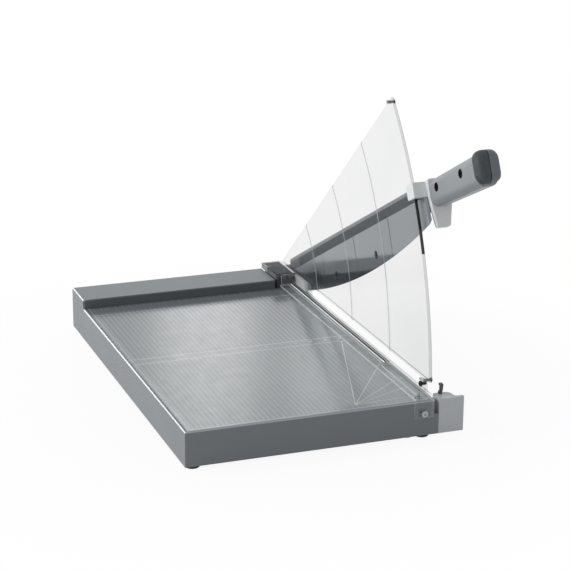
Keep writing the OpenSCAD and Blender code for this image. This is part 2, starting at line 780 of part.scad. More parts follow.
module coil(low, high) {
    rings = ring_steps * spring_curls;
    pts = [for (k = [0:rings]) each coil_ring(k, low, high)];
    faces = concat(
        [[for (j = [0:wire_sides - 1]) j]],
        [for (k = [0:rings - 1], j = [0:wire_sides - 1])
            let (a = k * wire_sides + j, b = k * wire_sides + (j + 1) % wire_sides)
            each [[a, a + wire_sides, b + wire_sides], [a, b + wire_sides, b]]],
        [[for (j = [wire_sides - 1:-1:0]) rings * wire_sides + j]]);
    polyhedron(points = pts, faces = faces, convexity = 10);
}

front_rise = clamp_low - front_seat;
rear_rise = box_top - clamp_t - rear_seat;
echo(spring_gap_front = (front_rise - spring_wire) / spring_curls - spring_wire);
echo(spring_gap_rear = (rear_rise - spring_wire) / spring_curls - spring_wire);

module front_spring() {
    color("#9a9ea2") in_frame() translate([front_pin[0], front_pin[1], 0]) coil(front_seat, clamp_low);
}

module rear_spring() {
    color("#9a9ea2") in_frame() translate([rear_pin[0], rear_pin[1], 0]) coil(rear_seat, box_top - clamp_t);
}

// Clear guard beside the blade

rear_tab_y0 = block_y0;
rear_tab_y1 = pivot_y - washer_d / 2 - 1.5;
rear_tab_holes = [[rear_tab_y0 + 8, base_h + 12.5], [rear_tab_y1 - 6, base_h + 12.5]];
foot_tab = [rim_back + 12, rim_back + 22];
foot_hole = [(foot_tab[0] + foot_tab[1]) / 2, clamp_top + 8.5];
apex_a = guard_slope + asin(guard_offset / guard_r);
stop_bore = 3;
stop_arm = guard_r - stop_r - 0.8;
stop_low_a = asin((guard_low + 2.6 - pivot_z) / stop_arm);
stop_high_a = apex_a - 0.45;
stop_places = [for (a = [stop_low_a, stop_high_a])
    [pivot_y - stop_arm * cos(a), pivot_z + stop_arm * sin(a)]];

// Outline of the guard in y and z: a sector cut off by its lower and upper edges, with two tabs and a skirt
module guard_outline() {
    intersection() {
        translate([pivot_y, pivot_z]) circle(r = guard_r, $fn = 360);
        translate([0, guard_low]) square([pivot_y + 8, guard_r]);
        translate([pivot_y, pivot_z]) rotate(-guard_slope)
            translate([-guard_r - 10, guard_offset - 2 * guard_r]) square([2 * guard_r, 2 * guard_r]);
    }
    translate([rear_tab_y0, clamp_low + 0.6]) square([rear_tab_y1 - rear_tab_y0, guard_low - clamp_low - 0.5]);
    // Skirt that closes the gap above the bar at the rear
    translate([rear_tab_y0 - skirt_l, clamp_top + 0.4]) square([skirt_l + 1, guard_low - clamp_top]);
    translate([foot_tab[0], clamp_top]) square([foot_tab[1] - foot_tab[0], guard_low - clamp_top + 0.1]);
}

module guard_shield() {
    color([0.85, 0.9, 0.92, 0.35]) in_frame() difference() {
        slab_x(guard_in, guard_out) guard_outline();
        // Engraved arcs on the blade's side
        for (i = [1:3]) translate([guard_out - 0.5, pivot_y, pivot_z]) rotate([0, 90, 0]) difference() {
            cylinder(r = guard_r - i * arc_step + 0.6, h = 1, $fn = 180);
            translate([0, 0, -1]) cylinder(r = guard_r - i * arc_step - 0.6, h = 3, $fn = 180);
        }
        for (p = concat(rear_tab_holes, [foot_hole]))
            translate([0, p[0], p[1]]) rod_x(guard_in - 1, guard_out + 1, 4 + 2 * snug);
        for (p = stop_places)
            translate([0, p[0], p[1]]) rod_x(guard_in - 1, guard_out + 1, stop_bore + 2 * snug);
    }
}

// Clear angle that carries the guard's front end on the clamp bar
module guard_bracket() {
    color([0.85, 0.88, 0.9, 0.4]) in_frame() difference() {
        box(guard_in - 3, foot_tab[0] - 1, clamp_top, guard_in, foot_tab[1] + 1, clamp_top + 14);
        translate([0, foot_hole[0], foot_hole[1]]) rod_x(guard_in - 4, guard_in + 1, 4.1);
    }
}

module guard_screws() {
    color("#2a2c2e") in_frame() {
        for (p = rear_tab_holes) translate([guard_out, p[0], p[1]]) rotate([0, 90, 0])
            screw(4, guard_t + clamp_t + 0.5, 7, 1.4);
        translate([guard_in - 3, foot_hole[0], foot_hole[1]]) rotate([0, -90, 0])
            screw(4, guard_t + 3, 7, 1.8);
    }
}

module rim_stops() {
    color([0.8, 0.83, 0.85, 0.5]) in_frame() for (p = stop_places) translate([0, p[0], p[1]]) difference() {
        rod_x(guard_in - 5.4, guard_in, 2 * stop_r);
        rod_x(guard_in - 6, guard_in + 1, stop_bore + 2 * snug);
    }
}

module rim_stop_screws() {
    color("#2a2c2e") in_frame() for (p = stop_places) translate([0, p[0], p[1]]) {
        rod_x(guard_in - 5.2, guard_out, stop_bore);
        rod_x(guard_out, guard_out + 1.2, 5);
    }
}

// Arm and blade

edge_mid = [blade_deep, edge_r - blade_drop];
web_drop = 13;
// Lower corner and upper notch of the web, measured back from the hilt
web_corner = 40;
web_notch = 21;
web_notch_t = -8;

// Area inside the curve that runs a given distance inside the cutting edge
module edge_disc(inside) {
    translate(edge_mid) circle(r = edge_r - inside, $fn = 720);
}

module arm_beam() {
    color("#6d7175") arm_frame() difference() {
        union() {
            // Spine with bevelled upper edges
            slab_s(spine_start, hilt_s) polygon([[spine_in, spine_low], [spine_out, spine_low],
                [spine_out, spine_low + spine_h - 3], [spine_out - 3, spine_low + spine_h],
                [spine_in + 2, spine_low + spine_h], [spine_in, spine_low + spine_h - 2.5]]);
            // Web behind the blade
            slab_arm(blade_out, web_out) intersection() {
                edge_disc(web_drop);
                polygon(rounded([[-2, -eye_r], [hilt_s - web_corner, -blade_drop],
                    [hilt_s - web_notch, web_notch_t], [blade_end, web_notch_t], [blade_end, spine_low],
                    [hilt_s, spine_low], [hilt_s, spine_low + 1], [-2, spine_low + 1]],
                    [8, 12, 10, 0, 0, 0, 0, 0]));
            }
            // Round eye about the pivot
            slab_arm(blade_in + slip, eye_out) circle(r = eye_r);
            // Tang inside the grip
            slab_arm(tang_x, spine_out) polygon(rounded(
                oblong(hilt_s - 5, spine_low, cap_s - tang_back, spine_low + tang_h), [0, 4, 4, 0]));
        }
        rod_x(blade_in - 1, eye_out + 1, bolt_d + 2 * bush_t + 2 * snug);
        for (s = blade_screw_s) translate([0, -s, blade_screw_t]) rod_x(blade_out - 1, web_out + 1, 6.1);
        for (s = grip_holes) translate([0, -s, tang_mid]) rod_x(tang_x - 1, spine_out + 1, 5.1);
        translate([0, -stud_s, stud_t]) rod_x(blade_out - 1, web_out + 1, 5 + 2 * snug);
    }
}

module pivot_bush() {
    color("#b08d4a") arm_frame() difference() {
        rod_x(blade_in + slip, eye_out, bolt_d + 2 * bush_t);
        rod_x(blade_in - 1, eye_out + 1, bolt_d + 2 * run);
    }
}

module latch_stud() {
    color("#a9adb1") arm_frame() translate([0, -stud_s, stud_t]) {
        rod_x(blade_out + 0.5, latch_x + latch_t + 0.4, 5);
        rod_x(web_out, web_out + 0.5, 7);
    }
}

blade_screw_s = [for (i = [0:2]) blade_start + 21.5 + i * blade_pitch];
blade_screw_t = -blade_drop + 17;
bevel_t = blade_t - 0.6;

module blade() {
    color("#9ca1a5") arm_frame() difference() {
        slab_arm(blade_in, blade_out) intersection() {
            edge_disc(0);
            polygon(rounded([[blade_start, -blade_drop - 1], [blade_end + blade_lean, -blade_drop - 1],
                [blade_end, spine_low], [blade_start, spine_low]], [4, 3, 0, 3]));
        }
        // Ground bevel on the outer side
        translate([blade_out, -edge_mid[0], edge_mid[1]]) rotate([0, -90, 0]) difference() {
            translate([0, 0, -1]) cylinder(r = edge_r + 4 * bevel_w, h = bevel_t + 1, $fn = 720);
            translate([0, 0, -1.5]) cylinder(r1 = edge_r - bevel_w - 1.5 * bevel_w / bevel_t,
                r2 = edge_r, h = bevel_t + 1.5, $fn = 720);
        }
        for (s = blade_screw_s) translate([0, -s, blade_screw_t]) {
            rod_x(blade_in - 1, blade_out + 1, 6.1);
            translate([blade_in - 0.01, 0, 0]) rotate([0, 90, 0]) cylinder(d1 = 11, d2 = 6, h = 2.5);
        }
    }
}

module blade_screws() {
    color("#5a5e62") arm_frame() for (s = blade_screw_s)
        translate([blade_in + snug, -s, blade_screw_t]) rotate([0, -90, 0])
            flush_screw(6, blade_t + web_t - 1, 10.8);
}

// Hilt and grip

module hilt_collar() {
    left = hilt_x;
    right = hilt_x + grip_w;
    low = grip_low - hilt_drop;
    color("#d9dcdd") arm_frame() difference() {
        union() {
            // Plate in front of the arm, narrower towards its lower end
            slab_s(hilt_plate_s, grip_s) polygon(rounded([[left + 4, low], [right - 6, low],
                [right, grip_low + 2], [right, grip_top + 1], [left, grip_top + 1], [left + 1, grip_low + 2]],
                [3, 3, 8, 10, 2, 14]));
            // Hub that closes the channel in front of the guard's rim
            slab_s(hilt_s, hilt_plate_s) polygon(rounded(
                oblong(lug_in, lug_low, right - 4, lug_low + lug_h), [2, 2, 4, 4]));
            // Lug beside the guard
            slab_arm(lug_in, lug_out) polygon(rounded(
                oblong(lug_s, lug_low, hilt_plate_s, lug_low + lug_h), [3, 0, 0, 3]));
        }
        tang_room(hilt_s - 1, grip_s + 1);
    }
}

// Room for the tang, from s0 to s1 along the arm
module tang_room(s0, s1) {
    slab_s(s0, s1) polygon(oblong(tang_x - slip, spine_low - slip,
        spine_out + slip, spine_low + tang_h + slip));
}

// Outline across the grip, reaching down by drop and up by rise, and grown on all sides
module grip_outline(grow, drop, rise) {
    polygon(rounded(oblong(hilt_x - grow, grip_low - drop - grow, hilt_x + grip_w + grow,
        grip_top + rise + grow), grip_round + min(grow, 0)));
}

// Grip that gets deeper towards its far end, with a slim end inside the cap
module grip_body() {
    hull() {
        slab_s(grip_s, grip_s + 1) grip_outline(0, 0, 0);
        slab_s(cap_s - 1, cap_s) grip_outline(0, grip_swell, 0.5);
    }
    slab_s(cap_s - 1, cap_s + cap_l * 0.5) slim_outline(0);
}

// Outline of the slim end inside the cap
module slim_outline(grow) {
    grip_outline(grow - 5, grip_swell - cap_clear - cap_proud, 0);
}

module grip_cuts() {
    tang_room(hilt_s, cap_s - tang_back + 1);
    for (s = grip_holes) translate([0, -s, tang_mid]) {
        rod_x(hilt_x - 5, hilt_x + grip_w + 5, 5.1);
        rod_x(hilt_x - 5, hilt_x + 4, head_d);
        rod_x(hilt_x + grip_w - 4, hilt_x + grip_w + 5, head_d);
    }
}

module grip_left() {
    color("#8b8f93") arm_frame() difference() {
        grip_body();
        grip_cuts();
        slab_s(grip_s - 1, cap_end)
            polygon(oblong(grip_mid, grip_low - 20, grip_mid + grip_w, grip_top + 9));
    }
}

module grip_right() {
    color("#8b8f93") arm_frame() difference() {
        grip_body();
        grip_cuts();
        slab_s(grip_s - 1, cap_end)
            polygon(oblong(grip_mid - grip_w, grip_low - 20, grip_mid, grip_top + 9));
    }
}

module grip_screws() {
    color("#2a2c2e") arm_frame() for (s = grip_holes) translate([0, -s, tang_mid]) {
        translate([hilt_x + 4, 0, 0]) rotate([0, -90, 0]) screw(5, grip_w - 8, head_d - 0.4, 2.4);
        translate([hilt_x + grip_w - 4, 0, 0]) difference() {
            rod_x(0, 2.4, head_d - 0.4);
            rod_x(-1, 3, 5 + 2 * snug);
        }
    }
}

seam_w = 0.8;
seam_deep = 0.8;

// Soft cap with a seam line down its middle
module grip_end_cap() {
    over = 5;
    inner = concat(
        [for (d = dome_steps) [cap_s + cap_l * d[0] - seam_deep, cap_low + d[1] + seam_deep]],
        [for (k = [3:-1:0]) let (d = dome_steps[k])
            [cap_s + cap_l * d[0] - seam_deep, cap_top - d[1] - seam_deep]]);
    color("#4d5154") arm_frame() difference() {
        hull() for (d = dome_steps) slab_s(cap_s, cap_s + cap_l * d[0])
            grip_outline(cap_proud - d[1], grip_swell - cap_clear - cap_proud, 0.5);
        slab_arm(grip_mid - seam_w / 2, grip_mid + seam_w / 2) difference() {
            polygon(oblong(cap_s - over, cap_low - over, cap_end + over, cap_top + over));
            polygon(concat([[cap_s - over - 1, cap_low + seam_deep]], inner,
                [[cap_s - over - 1, cap_top - seam_deep]]));
        }
        slab_s(cap_s - 1, cap_s + cap_l * 0.5 + snug) slim_outline(snug);
    }
}

tray_frame();
work_plate();
cross_ribs();
floor_sheet();
floor_screws();
back_ledge();
ledge_screws();
paper_stop();
bed_knife();
bed_knife_screws();
end_block();
end_block_screws();
front_guide();
pivot_block();
pivot_block_screws();
pivot_bolt();
thrust_washer();
spring_washer();
pivot_nut();
rubber_feet();
foot_screws();
flap_screw();
latch_pin();
latch_lever();
clamp_bar();
clamp_box();
box_screws();
guide_pins();
front_spring();
rear_spring();
guard_shield();
guard_bracket();
guard_screws();
rim_stops();
rim_stop_screws();
arm_beam();
pivot_bush();
latch_stud();
blade();
blade_screws();
hilt_collar();
grip_left();
grip_right();
grip_screws();
grip_end_cap();
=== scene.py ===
import math

import bmesh
import bpy
from mathutils import Matrix, Quaternion, Vector


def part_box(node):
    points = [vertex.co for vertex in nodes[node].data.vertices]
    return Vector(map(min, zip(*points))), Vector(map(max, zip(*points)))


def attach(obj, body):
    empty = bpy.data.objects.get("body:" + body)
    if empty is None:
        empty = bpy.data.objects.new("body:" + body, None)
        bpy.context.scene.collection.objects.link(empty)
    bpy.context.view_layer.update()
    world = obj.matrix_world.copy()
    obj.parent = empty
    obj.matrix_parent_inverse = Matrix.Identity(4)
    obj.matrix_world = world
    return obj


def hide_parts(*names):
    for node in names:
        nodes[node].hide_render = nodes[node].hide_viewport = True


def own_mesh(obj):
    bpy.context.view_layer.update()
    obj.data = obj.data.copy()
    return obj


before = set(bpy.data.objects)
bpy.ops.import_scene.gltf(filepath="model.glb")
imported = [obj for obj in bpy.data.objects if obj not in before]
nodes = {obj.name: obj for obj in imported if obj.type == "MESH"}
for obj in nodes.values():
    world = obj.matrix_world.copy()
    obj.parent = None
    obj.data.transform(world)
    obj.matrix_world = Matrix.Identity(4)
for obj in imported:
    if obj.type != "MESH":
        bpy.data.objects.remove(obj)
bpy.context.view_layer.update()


# ---- Tray frame
# The tray is a light alloy frame with rounded rims, powder coated in satin grey.
# It carries everything else: plate, ledge, knife, clamp guides and feet.

# The tray's lower front left corner, in the frame's millimetres
corner = (-173.15, -221.263, 4.5)


class Field:
    """A number, colour or direction that changes over a surface, taken from one node's output."""

    def __init__(self, owner, socket):
        self.owner, self.socket = owner, socket

    def step(self, operation, *values):
        sockets = dict(enumerate(values))
        return self.owner.node("ShaderNodeMath", {"operation": operation}, sockets)[0]

    def __add__(self, other):
        return self.step("ADD", self, other)

    def __sub__(self, other):
        return self.step("SUBTRACT", self, other)

    def __rsub__(self, other):
        return self.step("SUBTRACT", other, self)

    def __mul__(self, other):
        return self.step("MULTIPLY", self, other)

    def __mod__(self, other):
        return self.step("FLOORED_MODULO", self, other)

    def __lt__(self, other):
        return self.step("LESS_THAN", self, other)

    def __gt__(self, other):
        return self.step("GREATER_THAN", self, other)

    def __and__(self, other):
        return self.step("MULTIPLY", self, other)

    def __or__(self, other):
        return self.step("MAXIMUM", self, other)

    def __abs__(self):
        return self.step("ABSOLUTE", self)

    __radd__, __rmul__ = __add__, __mul__

    def rise(self, start, end):
        """Grows evenly from 0 where this value is start to 1 where it is end, and no further."""
        return self.owner.node("ShaderNodeMapRange", {}, {
            "Value": self, "From Min": start, "From Max": end})[0]


class Nodes:
    """The nodes of a material or of the world, which starts with none."""

    def __init__(self, owner):
        owner.use_nodes = True
        self.tree = owner.node_tree
        self.tree.nodes.clear()

    def node(self, kind, settings={}, values={}):
        """Adds a node, with its settings first and then the values or links of its sockets."""
        made = self.tree.nodes.new(kind)
        for name, value in settings.items():
            setattr(made, name, value)
        for key, value in values.items():
            if isinstance(value, Field):
                self.tree.links.new(value.socket, made.inputs[key])
            else:
                made.inputs[key].default_value = value
        outputs = {socket.name: Field(self, socket) for socket in made.outputs}
        outputs.update({i: Field(self, socket) for i, socket in enumerate(made.outputs)})
        return outputs


class Finish(Nodes):
    """One finish, built up from nodes. Its x, y and z are millimetres from the tray's corner."""

    def __init__(self, name):
        self.material = bpy.data.materials.new(name)
        super().__init__(self.material)
        self.place = self.node("ShaderNodeTexCoord")
        self.spot = self.node("ShaderNodeVectorMath", {"operation": "MULTIPLY_ADD"}, {
            0: self.place["Object"], 1: (1000, 1000, 1000), 2: tuple(-c for c in corner)})[0]
        self.x, self.y, self.z = self.split(self.spot)

    def split(self, vector):
        """The x, y and z of a place or a direction."""
        shares = self.node("ShaderNodeSeparateXYZ", {}, {0: vector})
        return shares["X"], shares["Y"], shares["Z"]

    def noise(self, waves, detail=3, stretch=(1, 1, 1)):
        """Soft random field from 0 to 1, with so many waves to a millimetre."""
        where = self.node("ShaderNodeVectorMath", {"operation": "MULTIPLY"}, {
            0: self.spot, 1: tuple(waves * s for s in stretch)})[0]
        return self.node("ShaderNodeTexNoise", {}, {
            "Vector": where, "Scale": 1, "Detail": detail})[0]

    def coat(self, mask, under, over):
        """The colour under, covered with the colour over where the mask is 1."""
        return self.node("ShaderNodeMix", {"data_type": "RGBA"}, {0: mask, 6: under, 7: over})[2]

    def relief(self, height, depth):
        """Surface relief of so many millimetres, from a height between 0 and 1."""
        return self.node("ShaderNodeBump", {}, {"Height": height, "Distance": depth / 1000})[0]

    def surface(self, values):
        """Ends the finish in one surface shader with those values."""
        shader = self.node("ShaderNodeBsdfPrincipled", {}, values)[0]
        self.node("ShaderNodeOutputMaterial", {}, {"Surface": shader})
        return self


def ink(code, share=1):
    """A colour such as "#5f6468", as it looks, in the linear values that a shader takes."""
    parts = [int(code[i:i + 2], 16) / 255 for i in (1, 3, 5)]
    lit = [p / 12.92 if p <= 0.04045 else ((p + 0.055) / 1.055) ** 2.4 for p in parts]
    return tuple(p * share for p in lit) + (1,)


def dress(finish, names, edge=0.0):
    """Gives nodes their finish, and breaks their sharp edges by so many millimetres."""
    sharp = math.radians(40)
    for name in names:
        piece = nodes[name]
        piece.data.materials.clear()
        piece.data.materials.append(finish.material)
        if edge:
            weld = piece.modifiers.new("weld", "WELD")
            weld.merge_threshold = 1e-6
            bevel = piece.modifiers.new("edge", "BEVEL")
            bevel.width, bevel.segments = edge / 1000, 2
            bevel.limit_method, bevel.angle_limit = "ANGLE", sharp
            bevel.miter_outer = "MITER_ARC"
            smooth = piece.modifiers.new("smooth", "WEIGHTED_NORMAL")
            smooth.keep_sharp = False


def powder_coat(name, colour, rough=0.42):
    """Baked powder coat: slight orange peel, faint clouds, dull spots, and smooth edges, the upper
    ones with a painted highlight.
    """
    finish = Finish(name)
    turn_x, turn_y, turn_z = finish.split(finish.place["Normal"])
    flat = (abs(turn_x) | abs(turn_y) | abs(turn_z)).rise(0.85, 1.0)
    clouds = finish.noise(0.02, 4)
    peel = finish.noise(0.9, 2)
    specks = finish.noise(2.6, 1)
    tone = finish.coat(clouds * 0.5 + 0.25, ink(colour, 0.94), ink(colour, 1.06))
    tone = finish.coat((specks > 0.68) & 0.25, tone, ink(colour, 0.8))
    # The rounded upper edges get a painted highlight, strongest on those that face left
    painted_edge_highlight = (turn_x < -0.3) * 0.65 + 0.35
    tone = finish.coat((1 - flat) & (turn_z > 0.3) & painted_edge_highlight, tone, ink("#e6e9ea"))
    edge_rough = 0.3
    uneven = (clouds - 0.5) * 0.12 + (specks - 0.5) * 0.08
    return finish.surface({
        "Base Color": tone,
        "Roughness": edge_rough + flat * (rough - edge_rough + uneven),
        "Specular IOR Level": 0.5,
        "Normal": finish.relief((peel * 0.7 + specks * 0.3 - 0.5) * flat, 0.02)})


dress(powder_coat("satin_grey_coat", "#6f7478"), ["tray_frame"], 0.5)


# ---- Work plate
# A glossy laminate sheet in the tray, printed with cutting guides from below.
# Fine bars run along the cut, a ruler crosses it, and a fan of angles starts at the front.

plate = Finish("printed_laminate")
line_ink, dark_ink = ink("#c3c8c9"), ink("#4c5154")


def stroke(value, at, width):
    """Mask of a printed line of that width, where value is at."""
    return abs(value - at) < width / 2


def between(value, low, high):
    """Mask of the part where value lies between low and high."""
    return (value > low) & (value < high)


# Fine bars over the ruled field
bar_pitch, bar_middle, bar_width = 6.16, 2.6, 3
ruled_field = between(plate.x, 10, 267) & between(plate.y, 8, 434)
print_bars = stroke(plate.x % bar_pitch, bar_middle, bar_width) & ruled_field
print_colour = plate.coat(print_bars * 0.9, ink("#7b8385"), ink("#636a6d"))

# The band before the ledge, a painted reflection of the ledge's dark front, the band along the cut,
# and the ruler's own band
print_colour = plate.coat((plate.y > 437) * 0.75, print_colour, ink("#64696d"))
print_colour = plate.coat((plate.x > 271) * 0.35, print_colour, ink("#6c7175"))
ruler_band = between(plate.y, 230, 248) & between(plate.x, 6, 296)
print_colour = plate.coat(ruler_band * 0.4, print_colour, ink("#6f7478"))

# Where the scales start, from the tray's left side
scale_start = 2.5


def marks(pitch, width, *rows):
    """Mask of a scale's marks, one at every pitch, in rows that each run from one y to another."""
    inside = between(plate.y, *rows[0])
    for row in rows[1:]:
        inside = inside | between(plate.y, *row)
    return stroke(plate.x % pitch, scale_start % pitch, width) & inside


# The ruler is marked at 1, 5 and 10 millimetres, and the ledge and the front edge more coarsely
ruler_marks = (
    marks(1, 0.22, (231, 233), (245, 247)) | marks(5, 0.3, (231, 234.5))
    | marks(10, 0.35, (231, 236), (243, 247)))
ledge_marks = marks(5, 0.4, (447, 452)) | marks(10, 0.5, (446, 457))
front_marks = marks(10, 0.4, (8, 14))
for scale, scale_end, strength in (
        (ruler_marks, 294, 0.7), (ledge_marks, 280, 0.5), (front_marks, 200, 0.5)):
    scale = scale & between(plate.x, 8, scale_end)
    print_colour = plate.coat(scale * strength, print_colour, line_ink)

# Frame lines, and the ruler's two edges
dark_lines = stroke(plate.x, 268.4, 0.5) | stroke(plate.x, 270.6, 0.5) | stroke(plate.y, 435.6, 1.4)
print_colour = plate.coat(dark_lines * 0.8, print_colour, dark_ink)
ruler_edges = (stroke(plate.y, 229.4, 0.9) | stroke(plate.y, 247.6, 0.9)) & between(plate.x, 5, 299)
light_lines = stroke(plate.y, 7, 0.6) | stroke(plate.x, 7.5, 0.5) | stroke(plate.y, 427.6, 1)
print_colour = plate.coat((ruler_edges | light_lines) * 0.8, print_colour, line_ink)

# Fan of lines from a point near the front edge: each line's angle, strength and length
fan_x, fan_y = plate.x - 214, plate.y - 17
fan_ink = ink("#d4d6d0")
for angle, strength, length in (
        (17.6, 0.9, 222), (34.2, 0.9, 152), (51.6, 0.8, 98),
        (66, 0.7, 84), (86, 0.6, 80), (-17, 0.4, 60)):
    to_right, to_back = math.sin(math.radians(angle)), math.cos(math.radians(angle))
    on_line = abs(fan_x * to_back - fan_y * to_right) < 0.5
    run = between(fan_x * to_right + fan_y * to_back, 1, length)
    print_colour = plate.coat((on_line & run) * strength, print_colour, fan_ink)

# Light scuffs, and a mottled painted reflection that lightens the plate beside the cut towards the
# front
scuffs = plate.noise(0.35, 4, (1, 0.04, 1))
mottle = plate.noise(0.05, 5)
scuff_and_reflection_ink = ink("#b9bdbf")
print_colour = plate.coat((scuffs > 0.66) * 0.06, print_colour, scuff_and_reflection_ink)
near_cut, near_front = plate.x.rise(120, 260), plate.y.rise(330, 90)
print_colour = plate.coat(near_cut * near_front * (0.24 + mottle * 0.2), print_colour, scuff_and_reflection_ink)
plate.surface({
    "Base Color": print_colour,
    "Roughness": 0.2 + (mottle - 0.5) * 0.1 + (scuffs - 0.5) * 0.08,
    "IOR": 1.5,
    "Normal": plate.relief(plate.noise(0.06, 2), 0.05)})
dress(plate, ["work_plate"], 0.3)

# Centimetre numbers of the ruler, printed with the plate: thin faces on its top
figures = Finish("ruler_ink")
wear = figures.noise(1.5, 2)
figures.surface({
    "Base Color": figures.coat(wear * 0.4, ink("#c8cccd"), ink("#aeb3b5")),
    "Roughness": 0.25 + wear * 0.1})
plate_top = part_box("work_plate")[1].z
figure_y, figure_size, ink_height = 239.5, 0.0052, 0.00004
digits = []
for centimetre in range(2, 29, 2):
    text = bpy.data.curves.new("figure", "FONT")
    text.body, text.size = str(centimetre), figure_size
    text.align_x, text.align_y = "CENTER", "CENTER"
    digit = bpy.data.objects.new("figure", text)
    figure_x = centimetre * 10 + scale_start
    digit.location = (
        (figure_x + corner[0]) / 1000, (figure_y + corner[1]) / 1000, plate_top + ink_height)
    bpy.context.scene.collection.objects.link(digit)
    digits.append(digit)
bpy.context.view_layer.update()
ruler_figures = digits[0]
with bpy.context.temp_override(
        active_object=ruler_figures, selected_editable_objects=digits, selected_objects=digits):
    bpy.ops.object.convert(target="MESH")
    bpy.ops.object.join()
ruler_figures.name = "ruler_figures"
ruler_figures.data.materials.clear()
ruler_figures.data.materials.append(figures.material)
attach(ruler_figures, "base")


# ---- Ribs and floor sheet
# Three moulded ribs run from wall to wall below the tray's shelf and carry the plate.
# A painted steel sheet closes the underside. Two small zinc plated screws hold it, together with
# the screws of the feet and the blocks.


def moulding(name, colour, rough=0.55, grain=1.8, depth=0.015):
    """Moulded plastic with a fine eroded grain and faint flow clouds."""
    finish = Finish(name)
    flow = finish.noise(0.03, 3, (1, 1, 2))
    pits = finish.noise(grain, 3)
    tone = finish.coat(flow * 0.6 + 0.2, ink(colour, 0.95), ink(colour, 1.05))
    tone = finish.coat((pits - 0.35) * 0.35, tone, ink(colour, 0.82))
    return finish.surface({
        "Base Color": tone,
        "Roughness": rough + (pits - 0.5) * 0.15,
        "Specular IOR Level": 0.4,
        "Normal": finish.relief(pits, depth)})


def plated(name, colour, rough=0.28, metallic=1.0):
    """Plated or blackened steel: fine turning marks, a clouded surface and a few dull stains."""
    finish = Finish(name)
    turning = finish.noise(4, 2, (1, 0.25, 1))
    stains = finish.noise(0.12, 4)
    tone = finish.coat(stains * 0.7, ink(colour, 1.05), ink(colour, 0.78))
    return finish.surface({
        "Base Color": tone,
        "Metallic": metallic,
        "Roughness": rough + (stains - 0.5) * 0.2 + (turning - 0.5) * 0.1,
        "Normal": finish.relief(turning, 0.006)})


zinc = plated("zinc_plated_steel", "#b4b7ba")
dress(moulding("grey_moulding", "#7c8185"), ["cross_ribs"], 0.4)
dress(powder_coat("dark_sheet_paint", "#565b5f", 0.5), ["floor_sheet"], 0.2)
dress(zinc, ["floor_screws"])


# ---- Back ledge
# The ledge's cover is a thin moulding in the tray's grey, held by three screws from behind.
# The stop below its front edge is a dark strip that the paper is laid against.
# The guide of the clamp's front pin, below the plate, is moulded in the same dark grey.

dress(moulding("ledge_moulding", "#7e8488", 0.5, 1.2, 0.01), ["back_ledge"], 0.35)
dress(zinc, ["ledge_screws"])
dress(moulding("dark_moulding", "#5c6266", 0.5), ["paper_stop", "front_guide"], 0.25)


# ---- Bed knife
# A bar of tool steel along the tray's right side, whose upper edge cuts.
# It is ground lengthwise, keeps a trace of oil, and is held by five plated screws from inside.

knife = Finish("bed_knife_steel")
knife_colour = "#8e9295"
grind = knife.noise(3.5, 4, (0.6, 0.012, 1))
oil = knife.noise(0.03, 4)
knife_tone = knife.coat(grind * 0.6, ink(knife_colour, 0.86), ink(knife_colour, 1.14))
knife_tone = knife.coat((oil - 0.4) * 0.5, knife_tone, ink(knife_colour, 0.75))
knife.surface({
    "Base Color": knife_tone,
    "Metallic": 0.75,
    "Roughness": 0.36 + (grind - 0.5) * 0.18 + (oil - 0.5) * 0.12,
    "Normal": knife.relief(grind, 0.008)})
dress(knife, ["bed_knife"], 0.15)
dress(zinc, ["bed_knife_screws"])


# ---- End block
# A light grey moulding at the front right, which ties the tray together below the blade's slot.
# Two screws hold it from below.

dress(moulding("light_moulding", "#bcc1c4", 0.45, 1.4, 0.01), ["end_block"], 0.5)
dress(zinc, ["end_block_screws"])


# ---- Pivot block and bearing
# A coated casting holds the pivot bolt, and its top shows inside the clear box.
# The arm turns in a brass bush between a brass washer and a spring washer with a plain nut.

cast_coat = Finish("dark_cast_coat")
sand = cast_coat.noise(0.8, 4)
cast_coat.surface({
    "Base Color": cast_coat.coat(sand, ink("#43474a"), ink("#5a5f63")),
    "Roughness": 0.45 + (sand - 0.5) * 0.3,
    "Normal": cast_coat.relief(sand, 0.05)})
dress(cast_coat, ["pivot_block"], 0.5)
dress(zinc, ["pivot_block_screws", "pivot_bolt", "pivot_nut", "spring_washer"])

brass = Finish("turned_brass")
rings, tarnish = brass.noise(3, 2), brass.noise(0.1, 4)
brass.surface({
    "Base Color": brass.coat(tarnish * 0.8, ink("#c9a25a"), ink("#8f6d36")),
    "Metallic": 1.0,
    "Roughness": 0.25 + tarnish * 0.2,
    "Normal": brass.relief(rings, 0.008)})
dress(brass, ["thrust_washer", "pivot_bush"])


# ---- Feet
# Four feet of moulded black rubber, matt and a little dusty, carry the tray at its corners.
# Each is held by a plated screw that is sunk in its middle.

foot_rubber = Finish("black_rubber")
foot_skin, foot_dust = foot_rubber.noise(2.2, 3), foot_rubber.noise(0.15, 3)
foot_rubber.surface({
    "Base Color": foot_rubber.coat(foot_dust * 0.5, ink("#232527"), ink("#232527", 1.8)),
    "Roughness": 0.75 + (foot_skin - 0.5) * 0.2,
    "Normal": foot_rubber.relief(foot_skin, 0.02)})
dress(foot_rubber, ["rubber_feet"], 0.3)
dress(zinc, ["foot_screws"])


# ---- Latch and flap screw
# The latch is a small dark moulding on a steel pin in the end block. It catches a stud on the arm.
# The screw that guides the clamp's flap is plated, with a turned head.

dress(moulding("latch_moulding", "#55565a", 0.5), ["latch_lever"], 0.25)
dress(zinc, ["latch_pin", "latch_stud"])
dress(plated("dull_zinc", "#a0a4a7", 0.35, 0.9), ["flap_screw"])


# ---- Clamp bar and box
# Clear acrylic, sawn and polished on its faces, with cut edges that gather the light.
# The bar has a rib beside the cut, with painted highlights on its edges and painted shade lines
# beside them, a window at its front end, and a front flap.
# The box has a dark backing above the pivot block, and is screwed to the bar's rear end.

bar = Finish("clear_bar")
bar_turn_y, bar_turn_z = bar.split(bar.place["Normal"])[1:]
